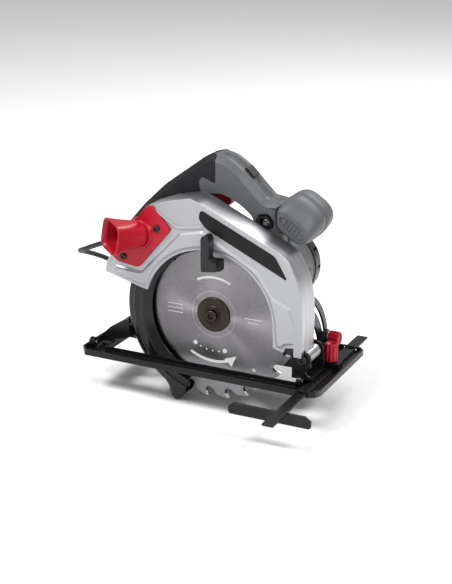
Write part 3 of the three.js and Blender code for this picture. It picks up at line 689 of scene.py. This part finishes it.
def blade_steel():
    """Steel ground on a turntable: rings of fine scratches about the middle, which
    stretch the gloss into streaks, and a slow change of tone."""
    material, tree, shader, node = node_material("ground_steel", (0.30, 0.29, 0.31), 0.46, 1.0)
    where = node("ShaderNodeTexCoord")
    centred = node("ShaderNodeMapping", [(where.outputs["Object"], "Vector")])
    centred.inputs["Location"].default_value = -SPINDLE / 1000
    flat = node("ShaderNodeVectorMath", [(centred.outputs["Vector"], 0)], operation="MULTIPLY")
    flat.inputs[1].default_value = (1, 0, 1)
    reach = node("ShaderNodeVectorMath", [(flat.outputs["Vector"], 0)], operation="LENGTH")
    rings = node("ShaderNodeTexNoise", [(reach.outputs["Value"], "W")],
                 noise_dimensions="1D", Scale=2600.0, Detail=4.0)
    broad = node("ShaderNodeTexNoise", [(centred.outputs["Vector"], "Vector")], Scale=22.0, Detail=5.0)
    tint = node("ShaderNodeMix", [(rings.outputs["Fac"], 0)], data_type="RGBA")
    tint.inputs[6].default_value = (0.17, 0.165, 0.172, 1)
    tint.inputs[7].default_value = (0.50, 0.49, 0.50, 1)
    cloud = node("ShaderNodeMix", [(broad.outputs["Fac"], 0), (tint.outputs[2], 6)], data_type="RGBA")
    cloud.blend_type = "MULTIPLY"
    cloud.inputs[7].default_value = (0.74, 0.73, 0.74, 1)
    grain = node("ShaderNodeTexNoise", [(centred.outputs["Vector"], "Vector")], Scale=760.0, Detail=3.0)
    fleck = node("ShaderNodeMapRange", [(grain.outputs["Fac"], "Value")])
    fleck.inputs["From Min"].default_value = 0.3
    fleck.inputs["From Max"].default_value = 0.7
    speckled = node("ShaderNodeMix", [(fleck.outputs["Result"], 0), (cloud.outputs[2], 6)], data_type="RGBA")
    speckled.blend_type = "MULTIPLY"
    speckled.inputs[7].default_value = (0.80, 0.79, 0.80, 1)
    tree.links.new(speckled.outputs[2], shader.inputs["Base Color"])
    bump = node("ShaderNodeBump", [(rings.outputs["Fac"], "Height")], Strength=0.10, Distance=0.0001)
    tree.links.new(bump.outputs["Normal"], shader.inputs["Normal"])
    along = node("ShaderNodeTangent", direction_type="UV_MAP", uv_map="around")
    shader.inputs["Anisotropic"].default_value = 0.9
    tree.links.new(along.outputs["Tangent"], shader.inputs["Tangent"])
    return material


ground_steel = blade_steel()


def tooth_rim():
    """The rim's points: for each tooth the tip, the hooked face down into a round
    gullet, and the back that rises to the next tip, in polar form."""
    face = [(BLADE_R, 0.0), (89, -0.45), (86, -0.8), (83.6, -0.4), (82.2, 0.7), (81.6, 2.2), (82.1, 3.7),
            (83.9, 5.2), (86.4, 6.2), (88.5, 6.9), (89.4, 7.8), (90.1, 9.2), (91.2, 11.6), (92.2, 14.2)]
    face = np.asarray(face)
    turn = np.radians(FIRST_TOOTH + 360 / TEETH * np.arange(TEETH)[:, None] + face[None, :, 1])
    radius = np.broadcast_to(face[None, :, 0], turn.shape)
    return np.column_stack([(radius * np.cos(turn)).ravel(), (radius * np.sin(turn)).ravel()])


rim = tooth_rim()
rim_turn = np.unwrap(np.arctan2(rim[:, 1], rim[:, 0]))
even_turn = np.linspace(rim_turn[0], rim_turn[0] + 2 * math.pi, len(rim), endpoint=False)
core = np.column_stack([np.cos(even_turn), np.sin(even_turn)])
disc = np.concatenate([
    core[None] * (10 + 68 * np.linspace(0, 1, 12)[:, None, None]),
    core[None] * 78 + (rim[None] - core[None] * 78) * np.linspace(0, 1, 4)[1:, None, None],
])
halves = []
for y in (-BLADE_HALF, BLADE_HALF):
    halves.append(np.dstack([disc[..., 0], np.full(disc.shape[:2], y), disc[..., 1]]))
blade_grid = np.concatenate([halves[0], halves[1][::-1]])
blade = closed_grid("blade_disc", at(blade_grid))
blade.data.materials.append(ground_steel)
around = blade.data.uv_layers.new(name="around")
corner = np.empty(len(blade.data.loops), int)
blade.data.loops.foreach_get("vertex_index", corner)
columns = len(rim)
row, column = corner // columns, corner % columns
column = column.reshape(-1, 4)
over_seam = (column.max(axis=1) - column.min(axis=1) > columns / 2)[:, None]
column = np.where(over_seam & (column == 0), columns, column)
around.data.foreach_set("uv", np.column_stack([
    column.ravel() / columns * 20, np.minimum(row, len(blade_grid) - 1 - row) / 15,
]).ravel())
for number in range(4):
    turn = math.radians(-50 + 90 * number)
    hole = np.array([71 * math.cos(turn), 71 * math.sin(turn)])
    lean = turn + math.radians(2)
    out = np.array([90 * math.cos(lean), 90 * math.sin(lean)]) - hole
    across = np.array([-out[1], out[0]]) / np.linalg.norm(out) * 0.85
    bulb = arc_points(2.4, math.degrees(lean) + 15, math.degrees(lean) + 345, 22, hole)
    slit_outline = np.vstack([bulb, hole + out - across, hole + out + across])
    cut_with(blade, plate(f"slit_{number}", slit_outline, [(-3, 0), (3, 0)], "blade_spindle", ground_steel))
blade.data.polygons.foreach_set("use_smooth", np.zeros(len(blade.data.polygons), bool))
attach(blade, "blade_spindle")
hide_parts("saw_blade")

carbide = bright_steel("carbide", (0.42, 0.41, 0.40), 0.24)
tip_turn = np.radians(FIRST_TOOTH + 360 / TEETH * np.arange(TEETH))[:, None]
tip_shape = np.array([(92.5, 0.05), (92.35, 1.7), (87.2, 0.95), (86.9, -0.65)])
tip_angle = tip_turn + np.radians(tip_shape[:, 1])[None]
tip_flat = np.dstack([tip_shape[:, 0] * np.cos(tip_angle), tip_shape[:, 0] * np.sin(tip_angle)])
tip_points = np.stack([
    np.dstack([tip_flat[..., 0], np.full(tip_flat.shape[:2], y), tip_flat[..., 1]]) for y in (-1.25, 1.25)
], axis=1)
tip_faces = np.array([
    (0, 1, 2, 3), (7, 6, 5, 4), (0, 4, 5, 1), (1, 5, 6, 2), (2, 6, 7, 3), (3, 7, 4, 0),
])
all_tips = (np.arange(TEETH)[:, None, None] * 8 + tip_faces[None]).reshape(-1, 4)
tips = new_mesh("carbide_tips", at(tip_points.reshape(-1, 3)), all_tips.tolist(), smooth=False)
tips.data.materials.append(carbide)
outward(tips)
soften(tips, 0.00015)
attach(tips, "blade_spindle")


print_white = moulded("print_white", (0.62, 0.61, 0.61), 0.5, 0.02, 500.0, 0.05)
ring = turned("blade_ring", [(24.6, -0.9), (24.6, -0.95), (24.85, -0.95), (24.85, -0.9)], (0, 0, 0),
              "blade_spindle", print_white, 120)


def printed(name, outline):
    """A thin mark of that outline on the near face of the blade."""
    return plate(name, outline, [(-0.96, 0), (-0.88, 0)], "blade_spindle", print_white)


# Plain bars and a bowed band stand where such a blade is printed.
band = printed("blade_band", np.vstack([arc_points(41.5, 118, 62, 30), arc_points(39.0, 62, 118, 30)]))
bars = [(-45, 5, 9), (-45, 0.5, 9), (-45, -4, 9), (45, 1.5, 10), (45, -2.5, 6)]
for number, (x, z, half) in enumerate(bars):
    bar = printed(f"blade_bar_{number}", [(x + half * a, z + 0.35 * b) for a, b in CORNERS])
    bar.parent = band
# The arrow follows the rim below the flange and shows the way the blade turns.
arrow = np.vstack([
    arc_points(53.4, 238, 288, 24), [(20.4, -54.8), (26.0, -42.2), (12.2, -47.2)],
    arc_points(50.4, 285, 240, 24),
])
sense = printed("turn_arrow", arrow)
for number, middle in enumerate(arc_points(40.5, 238, 288, 6)):
    mark = printed(f"blade_dot_{number}", arc_points(0.9 if number % 5 else 2.4, 0, 345, 24, middle))
    mark.parent = sense

bronze = bright_steel("dark_bronze", (0.046, 0.038, 0.033), 0.36)
flange_profile = [
    (4.4, -4.2), (9.3, -4.2), (9.7, -4.0), (10.2, -3.5), (11.4, -3.3), (11.8, -3.05), (13.6, -3.05),
    (14.0, -3.35), (16.1, -3.4), (17.6, -3.1), (18.4, -2.5), (18.5, -2.2), (18.5, -1.2), (4.4, -1.2),
]
outer_flange = turned("flange_outer", flange_profile, (0, 0, 0), "blade_spindle", bronze, 96)
soften(outer_flange, 0.0002)
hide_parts("outer_flange")
bolt_head = cap_screw("flange_bolt", (0, -5.6, 0), 6.8, "blade_spindle", bronze)
washer = turned("flange_bolt_washer", [(6, -5.8), (8.1, -5.8), (8.5, -5.4), (8.5, -4.5), (6, -4.5)],
                (0, 0, 0), "blade_spindle", bronze, 64)
washer.parent = bolt_head
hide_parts("blade_bolt")
for name in ("inner_flange", "spindle", "driven_gear"):
    eased(name, steel, 0.0003)

# ------------------------------------------------------------ Lower guard
# A black plastic cover that swings about the spindle boss: a flat near wall that
# steps down in rings to a round rim, a far wall, a rolled toe and a thumb lever.
black_plastic = moulded("black_plastic", (0.011, 0.011, 0.012), 0.34, 0.05, 800.0, 0.1, 0.3)
gloss_black = moulded("gloss_black", (0.006, 0.006, 0.0068), 0.18, 0.03, 700.0, 0.1, 0.3)
cover_section = np.array([
    (69.6, -4.9), (69.8, -6.1), (70.6, -6.5), (71.6, -7.0), (76.6, -11.2), (77.4, -12.0), (78.6, -12.4),
    (79.8, -12), (80.6, -11.2), (85.4, -11.2), (86.2, -12), (87.4, -12.4), (88.6, -12), (89.6, -11.1),
    (92.6, -10.8), (94.6, -10.2), (96.2, -8.8), (97.2, -6.8), (97.5, -4.5), (97.5, 7.5), (97.1, 9.6),
    (96, 11), (94.4, 11.5), (30, 11.5), (30, 9.9), (93, 9.9), (94.9, 9.2), (95.5, 7.6), (95.5, -5.0),
    (94.8, -7.6), (93, -9.2), (90, -9.9), (77.6, -9.9), (71.4, -4.9),
])
toe = np.array([
    (72, 97.5), (236, 97.6), (238, 98.5), (240.5, 101), (242.6, 105.5), (244.6, 109.2), (246.8, 110.4),
    (248.6, 108.2), (250.2, 103.0), (251.6, 97.0),
])
cover_turn = np.concatenate([np.linspace(72, 236, 83), np.linspace(236.6, 251.6, 26)])
swell = np.interp(cover_turn, toe[:, 0], toe[:, 1]) - 97.5
part_out = ease(cover_section[:, 0], 88, 97)
cover_radius = cover_section[None, :, 0] + swell[:, None] * part_out[None]
angle = np.radians(cover_turn)[:, None]
cover_grid = np.dstack([
    cover_radius * np.cos(angle), np.broadcast_to(cover_section[None, :, 1], cover_radius.shape),
    cover_radius * np.sin(angle),
])
cover = closed_grid("guard_cover", at(cover_grid), round_rows=False)
cover.data.materials.append(gloss_black)
soften(cover, 0.0003, 2, 50)
cover_hub = turned("guard_hub", [(22.5, 9.9), (34, 9.9), (34, 11.5), (22.5, 11.5)], (0, 0, 0),
                   "lower_guard_body", gloss_black, 96)
cover_hub.parent = cover
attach(cover, "lower_guard_body")
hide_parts("lower_guard")
lever_block = plate("lever_block", rounded([(7.5, 52.5), (7.5, 66.5), (17.5, 66.5), (17.5, 55)], 1.2), [
    (-19.6, 0), (-12.3, 0),
], "lower_guard_body", black_plastic)
lever_paddle = plate("lever_paddle", rounded([
    (0, 55), (0, 90), (3, 93.5), (8, 93.5), (10, 88), (9, 70), (17.5, 66.5), (17.5, 57),
], 1.8), [
    (-31, 1.1), (-30.7, 0.4), (-30.1, 0), (-20.1, 0), (-19.5, 0.4), (-19.2, 1.1),
], "lower_guard_body", black_plastic)
lever_block.parent = lever_paddle
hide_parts("guard_lever")
eased("guard_spring", steel, 0.00001)

# ------------------------------------------------------------ Gear case and motor
# The alloy gear case is bolted to the guard, and the plastic motor barrel to it, with
# stiffening rings, a rating plate and a vented cap. Armature, brushes and bearings
# are inside.
MOTOR_X = 22.3
MOTOR_Z = 20.7
motor_axis = (MOTOR_X, 0, MOTOR_Z)
eased("gear_case", silver_paint, 0.0012)
grey_plastic = moulded("grey_plastic", (0.088, 0.091, 0.096), 0.46, 0.08, 900.0, 0.06, 0.35)
barrel_profile = [(11, 47.1), (39.6, 47.1), (41, 48.4), (41, 60)]
for ring_y in (64, 72, 80):
    barrel_profile += [(40.9, ring_y - 2), (40.1, ring_y - 1.2), (40.1, ring_y + 1.2), (40.8, ring_y + 2)]
barrel_profile += [
    (40.2, 92), (39.6, 104), (39.3, 110), (38.7, 111), (38.6, 123), (38.2, 123.6), (35.9, 123.6),
    (36.4, 50.5), (11, 50.5),
]
barrel = turned("motor_barrel", barrel_profile, motor_axis, "saw_body", grey_plastic, 96)
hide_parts("motor_housing")
plate_turn = np.radians(np.linspace(-48, 8, 40))[:, None]
plate_y = np.linspace(86, 109, 6)[None, :]
plate_out = 40.85 - (plate_y - 86) * 0.05
rating_skin = np.stack([
    MOTOR_X + plate_out * np.cos(plate_turn), plate_y + 0 * plate_turn,
    MOTOR_Z + plate_out * np.sin(plate_turn),
], axis=-1)
number = np.arange(plate_turn.size * plate_y.size).reshape(plate_turn.size, plate_y.size)
rating_faces = np.stack([
    number[:-1, :-1], number[1:, :-1], number[1:, 1:], number[:-1, 1:],
], axis=-1).reshape(-1, 4)
rating = new_mesh("rating_plate", at(rating_skin), rating_faces.tolist())
thick = rating.modifiers.new("thick", "SOLIDIFY")
thick.thickness = 0.0004
thick.offset = 1
rating.data.materials.append(panel_black)
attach(rating, "saw_body")
eased("motor_end_cap", black_plastic, 0.0007)
copper = bright_steel("copper_wire", (0.55, 0.24, 0.11), 0.38)
laminated = bright_steel("laminated_steel", (0.24, 0.24, 0.25), 0.45)
for name in ("spindle_bearing", "armature_shaft", "armature_front_bearing", "armature_rear_bearing"):
    eased(name, steel, 0.0002)
for name in ("field_coil_front", "field_coil_rear", "commutator", "brush_holder_upper", "brush_holder_lower"):
    eased(name, copper, 0.0004)
for name in ("field_core", "armature_core"):
    eased(name, laminated, 0.0003)
for name in ("brush_upper", "brush_lower", "cooling_fan", "switch_module"):
    eased(name, black_plastic, 0.0003)
eased("spindle_lock_button", red_plastic, 0.0008)

# ------------------------------------------------------------ Handle
# Two grey shells screwed together round the switch, with broad chamfers along their
# edges and dark soft rubber over the palm. The trigger hangs in the finger gap.
handle_outline = np.vstack([
    rounded([(-128, 49), (-131, 60), (-99, 97), (-73, 122), (-24, 158), (-12, 161), (2, 157), (17, 147),
             (44, 120), (61.8, 118), (61.8, 70), (61.8, 42)], 4.0)[3:-3],
    arc_points(41.6, 30, 168, 40, (MOTOR_X, MOTOR_Z)), [(-60, 33), (-116, 41)],
])
finger_gap = rounded([
    (-92, 60), (-84, 71), (-36, 108), (-20, 116.5), (-7, 118.5), (3, 115.5), (12, 111.5), (21, 105.5),
    (29, 98.5), (27, 78), (14, 66), (-20, 58),
], 5.0)
shell_levels = [(26.0, 6.6), (26.3, 6.0), (31.0, 1.5), (32.4, 0.6), (34.4, 0.1), (44.8, 0)]
SHELL_MIDDLE = 45
HOLE_SHARE = 0.55


def well_outline(radius, reach=1.0):
    """The six-sided outline of the screw's well, drawn at that radius."""
    return rounded(arc_points(radius, 12, 312, 6, (44, 96)), reach)


near_shell = plate("handle_shell_near", handle_outline, shell_levels, "saw_body", grey_plastic,
                   [finger_gap, well_outline(8.0)], HOLE_SHARE)
far_levels = [(2 * SHELL_MIDDLE - y, inset) for y, inset in reversed(shell_levels)]
far_shell = plate("handle_shell_far", handle_outline, far_levels, "saw_body", grey_plastic, [finger_gap],
                  HOLE_SHARE)
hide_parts("handle_right")
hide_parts("handle_left")
well = turned("screw_well", [(0.05, 33.0), (8.4, 33.0), (8.4, 34.4), (0.05, 34.4)], (44, 0, 96),
              "saw_body", black_plastic, 32)
well_lip = plate("screw_well_lip", well_outline(9.2, 1.2), [(24.9, 0.5), (25.1, 0.15), (26.6, 0)],
                 "saw_body", black_plastic, [well_outline(6.9)], 0.4)
well.parent = well_lip
shell_screw = cap_screw("shell_screw", (44, 31.4, 96), 3.9, "saw_body", steel)
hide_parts("handle_screw")

grip_rubber = moulded("grip_rubber", (0.0125, 0.013, 0.0145), 0.55, 0.22, 1100.0, 0.08, 0.2)
# The rubber is cut from the shell's own form, half a millimetre larger, so it hugs
# every chamfer. Its front edge runs back as it crosses the top.
grip_region = rounded([
    (-140, 40), (-140, 120), (-60, 175), (-13.0, 175), (-11.5, 148), (-11.5, 131.7), (-26.4, 137.6),
    (-30.6, 132.3), (-28.6, 122.9), (-27, 108), (-70, 70), (-92, 56), (-104, 54), (-120, 36),
], 2.6)
PROUD = 0.5
grip_near = [(y - (PROUD if y < 40 else 0), inset - PROUD) for y, inset in shell_levels]
grip_far = [(2 * SHELL_MIDDLE - y, inset) for y, inset in reversed(grip_near)]
for name, levels, reach, node_name in (
    ("grip_near", grip_near, (22, 44.8), "grip_pad_right"),
    ("grip_far", grip_far, (45.2, 68), "grip_pad_left"),
):
    skin = plate(name, handle_outline, levels, "saw_body", grip_rubber, [finger_gap], HOLE_SHARE)
    cutter = plate(f"{name}_region", grip_region, [(y, 0) for y in np.linspace(*reach, 9)],
                   "saw_body", grip_rubber)
    place = np.empty(len(cutter.data.vertices) * 3)
    cutter.data.vertices.foreach_get("co", place)
    place = place.reshape(-1, 3)
    from_middle = np.abs(place[:, 1] * 1000 - SPINDLE[1] - SHELL_MIDDLE)
    place[:, 0] -= np.where(place[:, 0] > -0.05, 0.0115 * ease(15 - from_middle, 0, 15), 0)
    cutter.data.vertices.foreach_set("co", place.ravel())
    cut_with(skin, cutter, "INTERSECT")
    outward(skin)
    soften(skin, 0.0004, 2, 40)
    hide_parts(node_name)
eased("trigger", red_plastic, 0.0016)
eased("lock_off_button", black_plastic, 0.0009)

# ------------------------------------------------------------ Front handle
# A blunt grey pod moulded across the saw, with a seam round it and an oval face on
# the blade side that carries a plain ribbed badge.
POD_LEAN = math.radians(-35.0)
SHELL_FRONT = 62.1


def pod_ring(y, cx, cz, wide, high, sides=72, power=0.72):
    """A rounded rectangle: cosine and sine raised to a power below one, turned by the
    slope of the handle."""
    turn = np.linspace(0, 2 * math.pi, sides, endpoint=False)
    u = wide * np.sign(np.cos(turn)) * np.abs(np.cos(turn)) ** power
    v = high * np.sign(np.sin(turn)) * np.abs(np.sin(turn)) ** power
    x = cx + u * math.cos(POD_LEAN) - v * math.sin(POD_LEAN)
    z = cz + u * math.sin(POD_LEAN) + v * math.cos(POD_LEAN)
    return np.column_stack([x, np.full(sides, y), z])


# Each row is a ring: its distance across the saw, its middle, and its half sizes.
pod_plan = [
    (17.0, 77.3, 99.0, 19.4, 8.9), (17.2, 77.3, 99.0, 20.2, 9.7), (18.0, 77.3, 99.1, 20.9, 10.4),
    (20.5, 77.4, 99.7, 21.8, 13.0), (25, 77.6, 100.8, 22.9, 16.8), (31, 78.0, 101.8, 23.6, 19.4),
    (38, 78.4, 102.2, 23.9, 20.6), (44.2, 78.6, 102.4, 24.0, 20.9), (44.6, 78.6, 102.4, 23.4, 20.3),
    (45.4, 78.6, 102.4, 23.4, 20.3), (45.8, 78.6, 102.4, 24.0, 20.9), (54, 78.7, 102.6, 24.0, 20.8),
    (62, 78.7, 102.7, 23.8, 20.5), (67, 78.6, 102.8, 23.0, 19.8), (70, 78.4, 102.8, 21.6, 18.6),
    (72, 78.2, 102.9, 19.4, 16.6), (73, 78, 103, 16.4, 14),
]
pod_grid = np.stack([pod_ring(*row) for row in pod_plan])
pod_grid[..., 0] = np.maximum(pod_grid[..., 0], SHELL_FRONT)
pod = closed_grid("front_pod", at(pod_grid), round_rows=False)
pod.data.materials.append(grey_plastic)
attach(pod, "saw_body")
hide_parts("front_handle")

badge_along = np.array([math.cos(POD_LEAN), math.sin(POD_LEAN)])
badge_across = np.array([-badge_along[1], badge_along[0]])
badge_middle = np.array([77.3, 99.0])


def badge_oval(half_length, half_width):
    """An oval in the badge's own slope."""
    u, v = np.split(arc_points(1, 0, 352, 45), 2, axis=1)
    return badge_middle + u * half_length * badge_along + v * half_width * badge_across


badge = plate("pod_badge", badge_oval(16.2, 7.4), [(16.1, 0.6), (16.2, 0.3), (16.6, 0), (17.3, 0)],
              "saw_body", grey_plastic, [badge_oval(14.6, 5.9)], 0.6)
for number, shift in enumerate([-8.0, -4.0, 0.0, 4.0, 8.0]):
    half = 4.9 * math.sqrt(1 - (shift / 14.6) ** 2)
    middle = badge_middle + badge_along * shift
    bar = rounded([middle + badge_across * half * b + badge_along * 0.75 * a for a, b in CORNERS], 0.6)
    rib = plate(f"badge_rib_{number}", bar, [(16.1, 0.4), (16.25, 0), (17.3, 0)], "saw_body", grey_plastic)
    rib.parent = badge

# ------------------------------------------------------------ Front and rear hinges
# Pressed black steel: the front bracket carries the depth hinge's pin, the rear one
# the slotted arc that the lever clamps, and both hang on the shoe's tilt pins.
black_steel = moulded("black_steel", (0.007, 0.007, 0.008), 0.25, 0.05, 500.0, 0.12, 0.24)
# The near lug is pinched to a neck below its round head.
lug_notch = plate("lug_notch", rounded([
    (105.4, -41.5), (108.2, -38.6), (116, -35.5), (116, -47.6), (110.0, -47.6), (106.4, -45.5),
], 1.6), [(-8, 0), (-3.6, 0)], "tilt_frame", black_steel)
eased("front_pivot_bracket", black_steel, 0.0005, notch=lug_notch)
for name in ("rear_tilt_bracket", "depth_arc_plate"):
    eased(name, black_steel, 0.0005)
pin_body = turned("hinge_pin", [(0.05, -7.6), (3.0, -7.6), (3.0, 30.4), (2.5, 31), (0.05, 31)],
                  (102.5, 0, -30), "tilt_frame", steel, 32)
pin_head = cap_screw("hinge_pin_head", (102.5, -7.4, -30), 5.2, "tilt_frame", screw_black)
pin_head.parent = pin_body
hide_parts("front_pivot_pin")
eased("depth_lock_lever", black_plastic, 0.0009)

# ------------------------------------------------------------ Shoe
# One pressing, painted gloss black, with turned-up edges round the outside and round
# the blade's slot, and a slotted quadrant for the bevel.
eased("shoe_plate", black_steel, 0.0007, segments=3)
eased("bevel_quadrant", black_steel, 0.0004)
for name in ("front_tilt_pin", "rear_tilt_pin"):
    eased(name, steel, 0.0003)


FLUTES = 10


def fluted_knob(name, place, way, length, body, node_name):
    """A fluted knob: the radius falls by a power of a cosine once for each flute, and
    the two ends are rounded over and dished."""
    turn = full_turn(FLUTES * 14)
    groove = np.abs(np.cos(turn * FLUTES / 2)) ** 5
    plan = np.array([
        (0.05, 0.9), (4.6, 0.9), (5.6, 0.2), (6.6, 0), (7.2, 0.35), (7.45, 1.1), (7.45, 3),
        (7.3, length - 3.4), (7.15, length - 1.2), (6.6, length - 0.3), (5.7, length),
        (4.6, length - 0.3), (4.0, length - 1.3), (0.05, length - 1.3),
    ])
    depth = np.interp(plan[:, 0], [6.4, 7.2], [0, 0.95])[:, None, None]
    radius, along = plan[:, :1, None] - depth * groove, plan[:, 1:, None]
    way, first = np.asarray(way, float), np.array([0, 1.0, 0])
    knob = about_line(name, place, way, first, turn, radius, along, body, red_plastic, False)
    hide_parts(node_name)
    return knob


BOLT_Y = -13 + 77 * math.cos(math.radians(16))
BOLT_Z = -50 + 77 * math.sin(math.radians(16))
bevel_knob = fluted_knob("bevel_clamp_knob", (104.2, BOLT_Y, BOLT_Z), (1, 0, 0), 12, "bevel_clamp",
                         "bevel_knob")
stud_profile = [(0.05, 94), (2.6, 94), (2.6, 102.2), (5.9, 102.2), (5.9, 104.4), (0.05, 104.4)]
bevel_stud = turned("bevel_stud", stud_profile, (0, BOLT_Y, BOLT_Z), "bevel_clamp", steel, 32, (1, 0, 0))
bevel_nut = turned("bevel_stud_head", [(0.05, 92.6), (5.0, 92.6), (5.4, 93.1), (5.4, 95.5), (0.05, 95.5)],
                   (0, BOLT_Y, BOLT_Z), "bevel_clamp", black_steel, 6, (1, 0, 0))
for piece in (bevel_stud, bevel_nut):
    piece.parent = bevel_knob

# ------------------------------------------------------------ Parallel guide
# A flat steel bar with a fence across its end, held to the shoe by a clamp and a red
# thumb screw. Fine notches along the bar stand for its scale.
for name, width in (("guide_bar", 0.0004), ("guide_fence", 0.0005), ("guide_clamp", 0.0006)):
    eased(name, black_steel, width)
guide_knob = fluted_knob("guide_clamp_knob", (113, 44, -47.2), (0, 0, 1), 19, "guide_clamp_screw",
                         "guide_knob")
guide_stud = turned("guide_stud", [(0.05, -53), (2.6, -53), (2.6, -46), (0.05, -46)],
                    (113, 44, 0), "guide_clamp_screw", steel, 32, (0, 0, 1))
guide_stud.parent = guide_knob
marks = np.arange(-100, 34, 5.0)
mark_length = np.where(np.arange(len(marks)) % 2 == 0, 3.2, 2.0)[:, None]
mark_box = np.array([(0, -0.14, 0), (1, -0.14, 0), (1, 0.14, 0), (0, 0.14, 0)])
mark_points = np.stack([
    118.6 - mark_box[None, :, 0] * mark_length, marks[:, None] + mark_box[None, :, 1],
    np.full((len(marks), 4), -53.26),
], axis=-1)
mark_faces = np.arange(len(marks) * 4).reshape(-1, 4)
scale_marks = new_mesh("scale_marks", at(mark_points), mark_faces.tolist(), smooth=False)
scale_marks.data.materials.append(laminated)
thick = scale_marks.modifiers.new("thick", "SOLIDIFY")
thick.thickness = 0.00003
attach(scale_marks, "guide")
